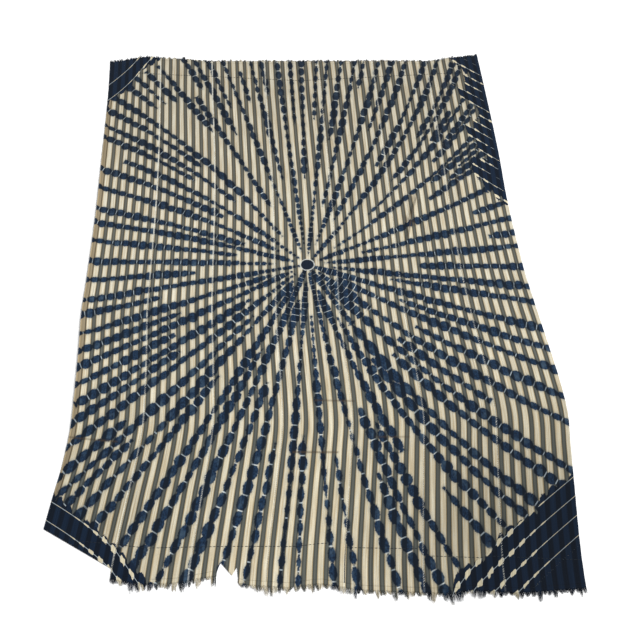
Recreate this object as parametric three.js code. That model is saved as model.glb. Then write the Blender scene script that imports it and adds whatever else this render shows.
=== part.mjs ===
import * as THREE from 'three';

// A cloth of seven narrow woven strips sewn edge to edge, laid out flat with its face up.
// Millimetres. X runs across the strips, Y along the warp to the far end, Z up from the floor.

const STRIP_COUNT = 7;
const STRIPES_PER_STRIP = 7;
const CLOTH_THICK = 1.2;
const SEAM_GAP = 0.3;
const PARTING_GAP = 0.4;

// Rows of cells along the warp, between the two uneven ends.
const ROW_FIRST = -650;
const ROW_LAST = 690;
const ROW_COUNT = 34;

// How the cloth lies: where its two outer selvedges run, by distance along the warp.
const SELVEDGES = [
  { along: 790, left: -592, right: 539 },
  { along: 600, left: -581, right: 544 },
  { along: 375, left: -573, right: 548 },
  { along: 195, left: -568, right: 546 },
  { along: 0, left: -568, right: 553 },
  { along: -100, left: -569, right: 563 },
  { along: -205, left: -563, right: 575 },
  { along: -310, left: -559, right: 586 },
  { along: -395, left: -558, right: 589 },
  { along: -470, left: -566, right: 580 },
  { along: -550, left: -579, right: 571 },
  { along: -690, left: -598, right: 556 },
  { along: -800, left: -606, right: 550 },
];

// The far end of the weave, by share of the width from the left selvedge.
const FAR_END = [
  { across: 0, along: 751 },
  { across: 0.085, along: 766 },
  { across: 0.2, along: 758 },
  { across: 0.28, along: 744 },
  { across: 0.52, along: 735 },
  { across: 0.87, along: 720 },
  { across: 0.93, along: 732 },
  { across: 1, along: 740 },
];

// The near end of the weave from the second strip on; the first strip's end is turned under.
const NEAR_END = [
  { across: 0.143, along: -712 },
  { across: 0.21, along: -724 },
  { across: 0.26, along: -724 },
  { across: 0.337, along: -712 },
  { across: 0.378, along: -731 },
  { across: 0.47, along: -741 },
  { across: 0.525, along: -735 },
  { across: 0.6, along: -751 },
  { across: 0.76, along: -764 },
  { across: 0.8, along: -759 },
  { across: 0.88, along: -768 },
  { across: 1, along: -764 },
];

// A torn notch in the near end of the third strip, with a pointed scrap left in it.
const NOTCH = [
  { across: 16.5 / 49, along: -705 },
  { across: 16.75 / 49, along: -688 },
  { across: 17.9 / 49, along: -714 },
  { across: 18.3 / 49, along: -697 },
  { across: 18.5 / 49, along: -724 },
];

// The near end of the first strip is turned under along a slanting line from the selvedge to the seam.
const FOLD_LEFT = { x: -589.5, y: -605 };
const FOLD_RIGHT = { x: -429, y: -693 };
const FOLD_GAP = 0.8;
const FOLD_FACETS = 4;
const TURNED_END = [
  { across: 0, along: -728 },
  { across: 0.143, along: -701 },
];
// Corners of the turned-under flap where it lies beneath the cloth.
const FLAP = [
  { x: -592, y: -603 },
  { x: -420, y: -694 },
  { x: -492, y: -522 },
];
const FLAP_FULL_LIFT = 48;
const FLAP_LIFT_END = 115;

// Soft ridges where the cloth does not lie quite flat: middle, direction off the warp, size and height.
const RIDGES = [
  { x: 281, y: 155, bearing: 16, length: 250, width: 56, height: 4.5 },
  { x: 418, y: 240, bearing: 0, length: 210, width: 52, height: 3.5 },
  { x: 420, y: -300, bearing: -14, length: 320, width: 90, height: 4 },
  { x: 50, y: -735, bearing: 3, length: 200, width: 62, height: 5 },
  { x: -130, y: -740, bearing: 0, length: 160, width: 70, height: 3.5 },
  { x: 300, y: -770, bearing: -6, length: 190, width: 100, height: 4 },
  { x: -470, y: 770, bearing: 4, length: 210, width: 110, height: 4.5 },
  { x: 180, y: 735, bearing: 0, length: 150, width: 90, height: 3 },
];

// The left selvedge curls up a little along its middle.
const CURL = [
  { along: 640, height: 0 },
  { along: 420, height: 4 },
  { along: 60, height: 5.5 },
  { along: -250, height: 6.5 },
  { along: -430, height: 4 },
  { along: -500, height: 0 },
];
const CURL_WIDTH = 34;

// Frayed warp ends: a narrow backing along each end with tapering locks, two to a stripe.
const BACKING_DEPTH = 8;
const LOCKS_PER_STRIPE = 2;
const LOCK_ROOT_SHARE = 0.72;
const LOCK_TIP_SHARE = 0.34;
const LOCK_TIP_THIN = 0.55;
const NEAR_LOCK_SHORT = 6;
const NEAR_LOCK_LONG = 21;
const FAR_LOCK_SHORT = 3;
const FAR_LOCK_LONG = 10;
const LOCK_LEAN = 3.2;

// A smooth curve through the rows of a table.
function curve(rows, key, value, at) {
  const order = rows[0][key] < rows[rows.length - 1][key] ? rows : [...rows].reverse();
  const last = order.length - 1;
  if (at <= order[0][key]) return order[0][value];
  if (at >= order[last][key]) return order[last][value];
  let i = 0;
  while (order[i + 1][key] < at) i += 1;
  const slope = (j) => {
    const before = order[Math.max(0, j - 1)];
    const after = order[Math.min(last, j + 1)];
    return (after[value] - before[value]) / (after[key] - before[key]);
  };
  const span = order[i + 1][key] - order[i][key];
  const t = (at - order[i][key]) / span;
  const start = order[i][value] * (1 + 2 * t) + slope(i) * span * t;
  const end = order[i + 1][value] * (3 - 2 * t) + slope(i + 1) * span * (t - 1);
  return start * (1 - t) * (1 - t) + end * t * t;
}

// Straight runs between the rows of a table, for torn and cut edges.
function straight(rows, key, value, at) {
  const inside = Math.min(Math.max(at, rows[0][key]), rows[rows.length - 1][key]);
  const i = Math.max(1, rows.findIndex((row) => row[key] >= inside));
  const t = (inside - rows[i - 1][key]) / (rows[i][key] - rows[i - 1][key]);
  return rows[i - 1][value] * (1 - t) + rows[i][value] * t;
}

// An end of the weave, straight from stripe to stripe.
function wovenEnd(rows, across) {
  const stripes = STRIP_COUNT * STRIPES_PER_STRIP;
  const first = Math.min(Math.floor(across * stripes + 1e-9), stripes - 1);
  const share = across * stripes - first;
  const start = straight(rows, 'across', 'along', first / stripes);
  const stop = straight(rows, 'across', 'along', (first + 1) / stripes);
  return start * (1 - share) + stop * share;
}

function spot(across, y, side = 0) {
  const left = curve(SELVEDGES, 'along', 'left', y);
  const right = curve(SELVEDGES, 'along', 'right', y);
  return { x: left + (right - left) * across + side, y, thin: 1 };
}

function smooth(t) {
  const clear = Math.min(Math.max(t, 0), 1);
  return clear * clear * (3 - 2 * clear);
}

// Distance from a point to the flap's outline, zero inside it.
function flapDistance(point) {
  let inside = true;
  let nearest = Infinity;
  FLAP.forEach((corner, i) => {
    const next = FLAP[(i + 1) % FLAP.length];
    const edge = { x: next.x - corner.x, y: next.y - corner.y };
    const reach = { x: point.x - corner.x, y: point.y - corner.y };
    const share = (reach.x * edge.x + reach.y * edge.y) / (edge.x * edge.x + edge.y * edge.y);
    const foot = Math.min(Math.max(share, 0), 1);
    nearest = Math.min(nearest, Math.hypot(reach.x - edge.x * foot, reach.y - edge.y * foot));
    if (edge.x * reach.y - edge.y * reach.x < 0) inside = false;
  });
  return inside ? 0 : nearest;
}

// Height of the cloth's lower face above the floor.
function lift(point) {
  const doubled = CLOTH_THICK + FOLD_GAP;
  const share = 1 - smooth((flapDistance(point) - FLAP_FULL_LIFT) / (FLAP_LIFT_END - FLAP_FULL_LIFT));
  let height = 0;
  for (const ridge of RIDGES) {
    const turn = THREE.MathUtils.degToRad(ridge.bearing);
    const dx = point.x - ridge.x;
    const dy = point.y - ridge.y;
    const aside = (dx * Math.cos(turn) - dy * Math.sin(turn)) / (ridge.width / 2);
    const ahead = (dx * Math.sin(turn) + dy * Math.cos(turn)) / (ridge.length / 2);
    height += ridge.height * smooth(1 - Math.abs(aside)) * smooth(1 - Math.abs(ahead));
  }
  const inset = point.x - curve(SELVEDGES, 'along', 'left', point.y);
  const curl = Math.max(0, 1 - inset / CURL_WIDTH);
  height += curve(CURL, 'along', 'height', point.y) * curl * curl;
  return doubled * share + height * (1 - share);
}

// The fold line's own axes: run along it, and out towards the turned-under end.
const FOLD_LENGTH = Math.hypot(FOLD_RIGHT.x - FOLD_LEFT.x, FOLD_RIGHT.y - FOLD_LEFT.y);
const FOLD_OUT = {
  x: (FOLD_RIGHT.y - FOLD_LEFT.y) / FOLD_LENGTH,
  y: (FOLD_LEFT.x - FOLD_RIGHT.x) / FOLD_LENGTH,
};
const FOLD_RADIUS = (CLOTH_THICK + FOLD_GAP) / 2;
const FOLD_ARC = Math.PI * FOLD_RADIUS;

function beyondFold(point) {
  return (point.x - FOLD_LEFT.x) * FOLD_OUT.x + (point.y - FOLD_LEFT.y) * FOLD_OUT.y;
}

// Where a point of the flat cloth comes to lie; face is 0 for the lower face and 1 for the upper.
function laid(point, face) {
  const height = CLOTH_THICK * face * point.thin;
  return [point.x, point.y, lift(point) + height];
}

function laidFolded(point, face) {
  const beyond = beyondFold(point);
  if (beyond <= 0) return laid(point, face);
  const axis = CLOTH_THICK + FOLD_GAP / 2;
  const radius = FOLD_RADIUS + (face - 0.5) * CLOTH_THICK;
  const angle = Math.min(beyond, FOLD_ARC) / FOLD_RADIUS;
  const tail = Math.max(0, beyond - FOLD_ARC);
  const out = Math.sin(angle) * radius - tail - beyond;
  return [
    point.x + FOLD_OUT.x * out,
    point.y + FOLD_OUT.y * out,
    axis + Math.cos(angle) * radius,
  ];
}

// Parts every cell along one line parallel to the fold.
function partCells(cells, distance) {
  const parted = [];
  for (const cell of cells) {
    const near = [];
    const beyond = [];
    cell.forEach((corner, i) => {
      const next = cell[(i + 1) % cell.length];
      const here = beyondFold(corner) - distance;
      const there = beyondFold(next) - distance;
      if (here <= 0) near.push(corner);
      if (here >= 0) beyond.push(corner);
      if (here * there < 0) {
        const share = here / (here - there);
        const cut = {
          x: corner.x + (next.x - corner.x) * share,
          y: corner.y + (next.y - corner.y) * share,
          thin: 1,
        };
        near.push(cut);
        beyond.push(cut);
      }
    });
    if (near.length > 2) parted.push(near);
    if (beyond.length > 2) parted.push(beyond);
  }
  return parted;
}

// A closed sheet from flat cells: an upper face, a lower face and a wall round every open edge.
function sheet(name, cells, place, colour) {
  const order = new Map();
  const points = [];
  const index = (point) => {
    const key = `${Math.round(point.x * 1e4)},${Math.round(point.y * 1e4)}`;
    if (!order.has(key)) {
      order.set(key, points.length);
      points.push(point);
    }
    return order.get(key);
  };
  const faces = [];
  const edges = new Set();
  for (const cell of cells) {
    const ring = cell.map(index).filter((corner, i, all) => corner !== all[(i + 1) % all.length]);
    if (ring.length < 3) continue;
    for (let i = 1; i < ring.length - 1; i += 1) faces.push([ring[0], ring[i], ring[i + 1]]);
    ring.forEach((corner, i) => edges.add(`${corner},${ring[(i + 1) % ring.length]}`));
  }
  const count = points.length;
  const positions = [];
  for (const face of [1, 0]) {
    for (const point of points) positions.push(...place(point, face));
  }
  const triangles = [];
  for (const [a, b, c] of faces) {
    triangles.push(a, b, c);
    triangles.push(count + a, count + c, count + b);
  }
  for (const edge of edges) {
    const [a, b] = edge.split(',').map(Number);
    if (!edges.has(`${b},${a}`)) {
      triangles.push(a, count + a, count + b);
      triangles.push(a, count + b, b);
    }
  }
  const geometry = new THREE.BufferGeometry();
  geometry.setAttribute('position', new THREE.Float32BufferAttribute(positions, 3));
  geometry.setIndex(triangles);
  geometry.computeVertexNormals();
  const material = new THREE.MeshStandardMaterial({ color: colour, roughness: 0.95, metalness: 0 });
  const mesh = new THREE.Mesh(geometry, material);
  mesh.name = name;
  return mesh;
}

// Where one strip's weave stops at its near and far ends, clear of the frayed backing.
function stripNear(strip, across) {
  if (strip === 0) return straight(TURNED_END, 'across', 'along', across);
  const first = NOTCH[0].across;
  const last = NOTCH[NOTCH.length - 1].across;
  if (across > first && across < last) return straight(NOTCH, 'across', 'along', across);
  return wovenEnd(NEAR_END, across) + BACKING_DEPTH + PARTING_GAP;
}

function stripFar(across) {
  return wovenEnd(FAR_END, across) - BACKING_DEPTH - PARTING_GAP;
}

// Columns at the stripes and at the notch's corners; rows from the near end to the far end.
function stripCells(strip) {
  const start = strip / STRIP_COUNT;
  const stop = (strip + 1) / STRIP_COUNT;
  const columns = [];
  for (let i = 0; i <= STRIPES_PER_STRIP; i += 1) {
    columns.push(start + ((stop - start) * i) / STRIPES_PER_STRIP);
  }
  const torn = NOTCH.map((corner) => corner.across).filter((across) => across > start && across < stop);
  const kept = columns.filter((across) => torn.length === 0 || across < torn[0] || across > torn[torn.length - 1]);
  const places = [...kept, ...torn].sort((a, b) => a - b);
  const rows = [];
  for (let i = 0; i < ROW_COUNT; i += 1) {
    rows.push(ROW_FIRST + ((ROW_LAST - ROW_FIRST) * i) / (ROW_COUNT - 1));
  }
  const line = places.map((across) => {
    let side = 0;
    if (across === start) side = SEAM_GAP / 2;
    if (across === stop) side = -SEAM_GAP / 2;
    const ends = [stripNear(strip, across), ...rows, stripFar(across)];
    return ends.map((y) => spot(across, y, side));
  });
  const cells = [];
  for (let i = 0; i < line.length - 1; i += 1) {
    for (let j = 0; j < line[i].length - 1; j += 1) {
      cells.push([line[i][j], line[i + 1][j], line[i + 1][j + 1], line[i][j + 1]]);
    }
  }
  return cells;
}

// An even scatter of shares between 0 and 1, a different one for each lock.
function uneven(number) {
  return (number * 0.618 + 0.37 * Math.sin(number * 2.3) + 1) % 1;
}

// A backing along one end of the weave with locks that taper outwards; out is 1 far and -1 near.
function fringeCells(ends, from, to, out, short, long) {
  const pitch = 1 / (STRIP_COUNT * STRIPES_PER_STRIP * LOCKS_PER_STRIPE);
  const count = Math.round((to - from) / pitch);
  const step = (to - from) / count;
  const cells = [];
  const edge = (across) => wovenEnd(ends, across);
  const outer = (across) => spot(across, edge(across));
  const inner = (across) => spot(across, edge(across) - out * BACKING_DEPTH);
  const turned = (cell) => (out > 0 ? cell : [...cell].reverse());
  for (let i = 0; i < count; i += 1) {
    const start = from + i * step;
    const rootA = start + (step * (1 - LOCK_ROOT_SHARE)) / 2;
    const rootB = rootA + step * LOCK_ROOT_SHARE;
    const stops = [start, rootA, rootB, start + step];
    for (let j = 0; j < 3; j += 1) {
      cells.push(turned([inner(stops[j]), inner(stops[j + 1]), outer(stops[j + 1]), outer(stops[j])]));
    }
    const length = short + (long - short) * uneven(i) * uneven(i * 3 + 7);
    const lean = LOCK_LEAN * (uneven(i * 5 + 2) - 0.5);
    const middle = outer((rootA + rootB) / 2);
    const half = ((outer(rootB).x - outer(rootA).x) * LOCK_TIP_SHARE) / 2;
    const tip = (side) => ({ x: middle.x + lean + side * half, y: middle.y + out * length, thin: LOCK_TIP_THIN });
    cells.push(turned([outer(rootA), outer(rootB), tip(1), tip(-1)]));
  }
  return cells;
}

const cloth = new THREE.Group();
cloth.name = 'baule_cloth';

for (let strip = 0; strip < STRIP_COUNT; strip += 1) {
  let cells = stripCells(strip);
  if (strip === 0) {
    for (let i = 0; i <= FOLD_FACETS; i += 1) cells = partCells(cells, (FOLD_ARC * i) / FOLD_FACETS);
  }
  const place = strip === 0 ? laidFolded : laid;
  cloth.add(sheet(`strip_${strip + 1}`, cells, place, '#a89e86'));
}

const farLocks = fringeCells(FAR_END, 0, 1, 1, FAR_LOCK_SHORT, FAR_LOCK_LONG);
cloth.add(sheet('far_fringe', farLocks, laid, '#b3a78a'));

const notchLeft = NOTCH[0].across;
const notchRight = NOTCH[NOTCH.length - 1].across;
const seam = 1 / STRIP_COUNT + 0.0005;
const leftLocks = fringeCells(NEAR_END, seam, notchLeft, -1, NEAR_LOCK_SHORT, NEAR_LOCK_LONG);
cloth.add(sheet('near_fringe_left', leftLocks, laid, '#b3a78a'));

const rightLocks = fringeCells(NEAR_END, notchRight, 1, -1, NEAR_LOCK_SHORT, NEAR_LOCK_LONG);
cloth.add(sheet('near_fringe_right', rightLocks, laid, '#b3a78a'));

// The origin stands at the middle of the cloth's outline, on the floor.
const box = new THREE.Box3();
for (const piece of cloth.children) {
  piece.geometry.computeBoundingBox();
  box.union(piece.geometry.boundingBox);
}
const middle = box.getCenter(new THREE.Vector3());
for (const piece of cloth.children) piece.geometry.translate(-middle.x, -middle.y, -box.min.z);

export default cloth;
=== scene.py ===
import math

import bpy
import numpy as np
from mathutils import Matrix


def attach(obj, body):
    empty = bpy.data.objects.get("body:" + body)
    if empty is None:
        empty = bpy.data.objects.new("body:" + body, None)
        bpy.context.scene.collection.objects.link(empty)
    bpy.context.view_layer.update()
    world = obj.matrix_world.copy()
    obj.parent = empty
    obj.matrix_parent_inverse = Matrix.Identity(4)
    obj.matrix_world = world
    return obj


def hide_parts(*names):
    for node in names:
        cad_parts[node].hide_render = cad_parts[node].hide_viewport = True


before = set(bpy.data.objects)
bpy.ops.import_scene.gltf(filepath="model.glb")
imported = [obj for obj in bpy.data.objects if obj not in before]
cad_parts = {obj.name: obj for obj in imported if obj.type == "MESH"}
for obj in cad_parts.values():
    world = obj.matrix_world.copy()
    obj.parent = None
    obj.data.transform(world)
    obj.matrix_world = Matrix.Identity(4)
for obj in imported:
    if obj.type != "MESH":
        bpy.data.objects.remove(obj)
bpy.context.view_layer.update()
bpy.ops.object.select_all(action="DESELECT")

# The strips. Seven narrow lengths of handspun cotton, warp-striped cream and grey on a narrow loom and
# then sewn edge to edge. They lie face up in the shape the cloth has taken on the floor, each a thin
# sheet with its selvedges drawn in at the seams; the first has its near end turned under.
STRIPS = 7
STRIPES = 49
STRIPE_MM = 23.3
CLOTH_MM = 1.2
CELLS_PER_STRIPE = 10
CELL_ROWS = 640
MIDDLE = (0.339, 4.073)

# Outer selvedges: along the warp, left, right.
SELVEDGES = [
    (790, -592, 539), (600, -581, 544), (375, -573, 548), (195, -568, 546), (0, -568, 553),
    (-100, -569, 563), (-205, -563, 575), (-310, -559, 586), (-395, -558, 589), (-470, -566, 580),
    (-550, -579, 571), (-690, -598, 556), (-800, -606, 550),
]
# Ends of the weave: share of the width, place along the warp.
FAR_END = [(0, 751), (0.085, 766), (0.2, 758), (0.28, 744), (0.52, 735), (0.87, 720), (0.93, 732), (1, 740)]
NEAR_END = [
    (0.143, -712), (0.21, -724), (0.26, -724), (0.337, -712), (0.378, -731), (0.47, -741), (0.525, -735),
    (0.6, -751), (0.76, -764), (0.8, -759), (0.88, -768), (1, -764),
]
NOTCH = [(16.5 / 49, -705), (16.75 / 49, -688), (17.9 / 49, -714), (18.3 / 49, -697), (18.5 / 49, -724)]
TURNED_END = [(0, -728), (0.143, -701)]
BACKING_MM = 8.4

# The slanting fold of the first strip and the flap that lies beneath it.
FOLD_LEFT = np.array([-589.5, -605.0])
FOLD_RIGHT = np.array([-429.0, -693.0])
FOLD_GAP = 0.8
FLAP = np.array([(-592, -603), (-420, -694), (-492, -522)], float)
FLAP_LIFT = (48, 115)

# Soft ridges: middle x and y, bearing off the warp, length, width, height.
RIDGES = [
    (281, 155, 16, 250, 56, 4.5), (418, 240, 0, 210, 52, 3.5), (420, -300, -14, 320, 90, 4),
    (50, -735, 3, 200, 62, 5), (-130, -740, 0, 160, 70, 3.5), (300, -770, -6, 190, 100, 4),
    (-470, 770, 4, 210, 110, 4.5), (180, 735, 0, 150, 90, 3),
]
# The left selvedge curls up: along the warp, height.
CURL = [(640, 0), (420, 4), (60, 5.5), (-250, 6.5), (-430, 4), (-500, 0)]
CURL_MM = 34
# Sharp little wrinkles: both ends, width, height.
WRINKLES = [
    (304, 227, 281, 168, 8, 4.6), (281, 168, 258, 73, 8, 4.2), (418, 283, 417, 217, 7, 3.4),
]
# The warp bows to the left between the selvedges: along the warp, bow, share of the width where it is most.
DRIFT = [
    (600, -12, 0.4), (400, -6.5, 0.5), (200, 0, 0.6), (0, -2, 0.72), (-200, -9.5, 0.62), (-600, -6.5, 0.62),
]
DRIFT_REACH = 0.5
# The first cream stripe of a strip starts this part of a repeat before its selvedge.
STRIPE_START = 0.15


def curve(rows, column, at):
    """A smooth curve through one column of a table whose first column is the place."""
    table = np.array(sorted(rows), float)
    place, value = table[:, 0], table[:, column]
    before = np.r_[0, np.arange(len(place) - 1)]
    after = np.r_[np.arange(1, len(place)), len(place) - 1]
    slope = (value[after] - value[before]) / (place[after] - place[before])
    at = np.clip(at, place[0], place[-1])
    i = np.clip(np.searchsorted(place, at) - 1, 0, len(place) - 2)
    span = place[i + 1] - place[i]
    t = (at - place[i]) / span
    start = value[i] * (1 + 2 * t) + slope[i] * span * t
    stop = value[i + 1] * (3 - 2 * t) + slope[i + 1] * span * (t - 1)
    return start * (1 - t) ** 2 + stop * t**2


def straight(rows, at):
    """Straight runs between the rows of a two-column table."""
    table = np.array(rows, float)
    return np.interp(at, table[:, 0], table[:, 1])


def woven_end(rows, across):
    """An end of the weave, straight from stripe to stripe."""
    stops = np.arange(STRIPES + 1) / STRIPES
    return np.interp(across, stops, straight(rows, stops))


def smooth(t):
    t = np.clip(t, 0, 1)
    return t * t * (3 - 2 * t)


def drift(share, y):
    """How far the warp has bowed to one side."""
    most = curve(DRIFT, 2, y)
    reach = np.minimum(DRIFT_REACH, np.minimum(most, 1 - most) + 0.1)
    bowed = smooth(1 - np.abs(share - most) / reach) * smooth(share / 0.12) * smooth((1 - share) / 0.12)
    return curve(DRIFT, 1, y) * bowed


def lie(across, y):
    """Where a share of the width comes to lie at a place along the warp."""
    left, right = curve(SELVEDGES, 1, y), curve(SELVEDGES, 2, y)
    return left + (right - left) * across + drift(across, y)


def share_at(x, y):
    left, right = curve(SELVEDGES, 1, y), curve(SELVEDGES, 2, y)
    share = (x - left) / (right - left)
    for _ in range(3):
        share = (x - drift(share, y) - left) / (right - left)
    return share


def flap_distance(x, y):
    inside = np.ones(np.shape(x), bool)
    nearest = np.full(np.shape(x), 1e9)
    for corner, after in zip(FLAP, np.roll(FLAP, -1, axis=0)):
        ex, ey = after - corner
        rx, ry = x - corner[0], y - corner[1]
        foot = np.clip((rx * ex + ry * ey) / (ex * ex + ey * ey), 0, 1)
        nearest = np.minimum(nearest, np.hypot(rx - ex * foot, ry - ey * foot))
        inside &= ex * ry - ey * rx >= 0
    return np.where(inside, 0, nearest)


def lift(x, y):
    """Height of the cloth's lower face: the doubled corner, the ridges, the curl and small puckers."""
    share = 1 - smooth((flap_distance(x, y) - FLAP_LIFT[0]) / (FLAP_LIFT[1] - FLAP_LIFT[0]))
    height = np.zeros(np.shape(x))
    for mx, my, bearing, length, width, tall in RIDGES:
        turn = math.radians(bearing)
        dx, dy = x - mx, y - my
        aside = np.abs(dx * math.cos(turn) - dy * math.sin(turn)) / (width / 2)
        ahead = np.abs(dx * math.sin(turn) + dy * math.cos(turn)) / (length / 2)
        height += tall * smooth(1 - aside) * smooth(1 - ahead)
    for ax, ay, bx, by, width, tall in WRINKLES:
        ex, ey = bx - ax, by - ay
        foot = ((x - ax) * ex + (y - ay) * ey) / (ex * ex + ey * ey)
        apart = np.abs((x - ax) * ey - (y - ay) * ex) / math.hypot(ex, ey)
        height += tall * smooth(1 - apart / width) * smooth((foot + 0.3) / 0.4) * smooth((1.3 - foot) / 0.4)
    inset = x - curve(SELVEDGES, 1, y)
    height += curve(CURL, 1, y) * np.clip(1 - inset / CURL_MM, 0, 1) ** 2
    seam = np.abs((share_at(x, y) * STRIPS + 0.5) % 1 - 0.5) * STRIPE_MM * STRIPES / STRIPS
    pucker = 0.5 + 0.5 * np.sin(y / 5.2 + 1.7 * np.sin(y / 31) + x * 0.013)
    height += 0.7 * pucker * np.exp(-seam / 9)
    swell = np.sin(x / 71 + 0.9 * np.sin(y / 130)) * np.sin(y / 88 + 0.7 * np.sin(x / 110) + 1.3)
    height += 0.5 * (1 + swell)
    return (CLOTH_MM + FOLD_GAP) * share + height * (1 - share)


fold_run = (FOLD_RIGHT - FOLD_LEFT) / np.linalg.norm(FOLD_RIGHT - FOLD_LEFT)
fold_out = np.array([fold_run[1], -fold_run[0]])
fold_radius = (CLOTH_MM + FOLD_GAP) / 2
fold_arc = math.pi * fold_radius


def beyond_fold(x, y):
    return (x - FOLD_LEFT[0]) * fold_out[0] + (y - FOLD_LEFT[1]) * fold_out[1]


def laid(x, y, face, folded=False):
    """Places flat cloth on the floor, in metres; face is 0 for the lower face and 1 for the upper."""
    seam = np.abs((share_at(x, y) * STRIPS + 0.5) % 1 - 0.5) * STRIPE_MM * STRIPES / STRIPS
    drawn_in = 0.55 * np.exp(-((seam / 1.6) ** 2)) * face
    z = lift(x, y) + CLOTH_MM * face - drawn_in
    if folded:
        beyond = beyond_fold(x, y)
        radius = fold_radius + (face - 0.5) * CLOTH_MM
        angle = np.clip(beyond, 0, fold_arc) / fold_radius
        out = np.sin(angle) * radius - np.clip(beyond - fold_arc, 0, None) - beyond
        turned = beyond > 0
        x = np.where(turned, x + fold_out[0] * out, x)
        y = np.where(turned, y + fold_out[1] * out, y)
        z = np.where(turned, CLOTH_MM + FOLD_GAP / 2 + np.cos(angle) * radius, z)
    return np.stack([x + MIDDLE[0], y + MIDDLE[1], z], -1) / 1000


# The tied-resist dyeing. The cloth was pleated out from one point, bound closely with thread and dipped,
# so every pleat takes a row of indigo beads with a pale thread line across between them. The pleats are
# spaced evenly in each part of the round, with a fixed scatter, and bend as they run out to the edges.
HUB = (-4.3, 20.2)
# Parts of the round, by where pleats reach the edges: bearing from, to, number, half-width of their beads,
# how near to each other they were taken in.
SECTORS = [
    (-38, -20, 7, 6.6, 1), (-20, 8, 9, 5.6, 1), (8, 35, 9, 6.4, 1), (35, 50, 8, 5.8, 1), (50, 62, 6, 6, 1),
    (62, 90, 5, 7.4, 1), (90, 120, 6, 7.6, 0.9), (120, 146, 7, 8, 0.75), (146, 166, 6, 7.4, 0.75),
    (166, 194, 6, 5.8, 0.85), (194, 219, 6, 7.5, 0.8), (219, 232, 5, 8, 0.8), (232, 250, 5, 7.8, 0.85),
    (250, 270, 4, 7.4, 1), (270, 300, 6, 7.4, 1), (300, 322, 6, 6.8, 1),
]
# How far a pleat has turned by the time it reaches the edge: bearing there, turn.
BENDS = [
    (-90, 0), (-55, -11), (-25, -1), (0, 0), (20, -4), (36, -11), (52, -9), (70, -3), (90, 0),
    (130, -7), (147, -9), (165, -3), (180, 0), (198, 3), (219, 1), (270, 0),
]
# A pleat is taken in between two others where they have come far enough apart: how far by the point and
# far out, the order in which neighbours come in, the highest first, and the nearest and farthest start.
PLEAT_APART = (17, 34)
TAKEN_IN = (0, 1, 0, 2, 0, 1, 0, 3)
PLEAT_START = (19, 560)
PLEAT_END = 830
# A few pleats stop short: their share, and between which places.
STOP_SHORT = 0.08
STOPS = (520, 690)
# Close to the point the pleats were bound into a web: bearing from, to, how much fuller the beads are.
WEB_MM = 200
WEB = [(98, 152, 0.4), (152, 225, 0.27)]
# Dye runs along the warp, so beads are longer by this share on pleats that follow it.
ALONG_WARP = 0.4
# Solid indigo corners: side, end, leg across, leg along, first bound line, pitch and number of the lines.
CORNERS = [
    ("left", "far", 150, 178, 15, 40, 2),
    ("left", "near", 250, 200, 18, 30, 3),
    ("right", "near", 285, 238, 10, 31, 4),
]
# The dark band down the right selvedge from the far end, its rows uneven in reach: along the warp, width.
BAND = [(745, 112), (700, 88), (640, 60), (400, 48), (260, 56), (190, 0)]
BAND_BEARING = 40
BAND_PITCH = 27
BAND_RAGGED = 46
BAND_STOP = 185
# Old fold creases, browned, and in the last three rows painted shadow along the sharp wrinkles: both ends and
# strength.
CREASES_AND_WRINKLE_SHADOWS = [
    (-49, -462, 51, -466, 1), (5, -343, 95, -348, 0.8), (-562, -410, -450, -424, 0.8),
    (140, -434, 215, -437, 0.6), (298, 214, 281, 168, 0.7), (281, 168, 264, 92, 1), (418, 278, 417, 222, 0.7),
]


def scatter(a, b=0):
    """A fixed scatter of shares between 0 and 1."""
    return np.abs(np.sin(np.asarray(a) * 12.9898 + np.asarray(b) * 78.233) * 43758.5453) % 1


def taken_in_at(wedge, share):
    """How far out a pleat is taken in between two others with this angle between them."""
    r = np.arange(20.0, PLEAT_START[1])
    apart = PLEAT_APART[0] + (PLEAT_APART[1] - PLEAT_APART[0]) * smooth(r / 400)
    wide_enough = r * wedge >= apart * share
    return float(r[np.argmax(wide_enough)]) if wide_enough.any() else float(PLEAT_START[1])


# One row a pleat: start, end, bearing at its start, middle and end, half-width of its beads.
pleats = []
for low_bearing, high_bearing, count, wide, near in SECTORS:
    spacing = (high_bearing - low_bearing) / count
    for i in range(count):
        number = len(pleats)
        bearing = low_bearing + spacing * (i + 0.5 + 0.4 * (float(scatter(number, 1)) - 0.5))
        before, turn, after = curve(BENDS, 1, (bearing + np.array([-2.0, 0, 2]) + 90) % 360 - 90).tolist()
        closer = min(max(1 - (after - before) / 4, 0.4), 1.4)
        wedge = math.radians(spacing) * closer * 2 ** TAKEN_IN[number % len(TAKEN_IN)]
        start = max(taken_in_at(wedge, near) * (0.75 + 0.5 * float(scatter(number, 2))), PLEAT_START[0])
        end = PLEAT_END
        if scatter(number, 4) <= STOP_SHORT:
            end = STOPS[0] + (STOPS[1] - STOPS[0]) * float(scatter(number, 5))
        end = max(end, start + 120)
        places = (start, (start + end) / 2, end)
        pleats.append((start, end, *[bearing - turn * (1 - (r / PLEAT_END) ** 1.3) for r in places], wide))


ring_places = np.arange(0.0, 900.0)
ring_counts = np.cumsum(1 / (12 + 13 * (1 - np.exp(-np.clip(ring_places - 40, 0, None) / 160))))


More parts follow.
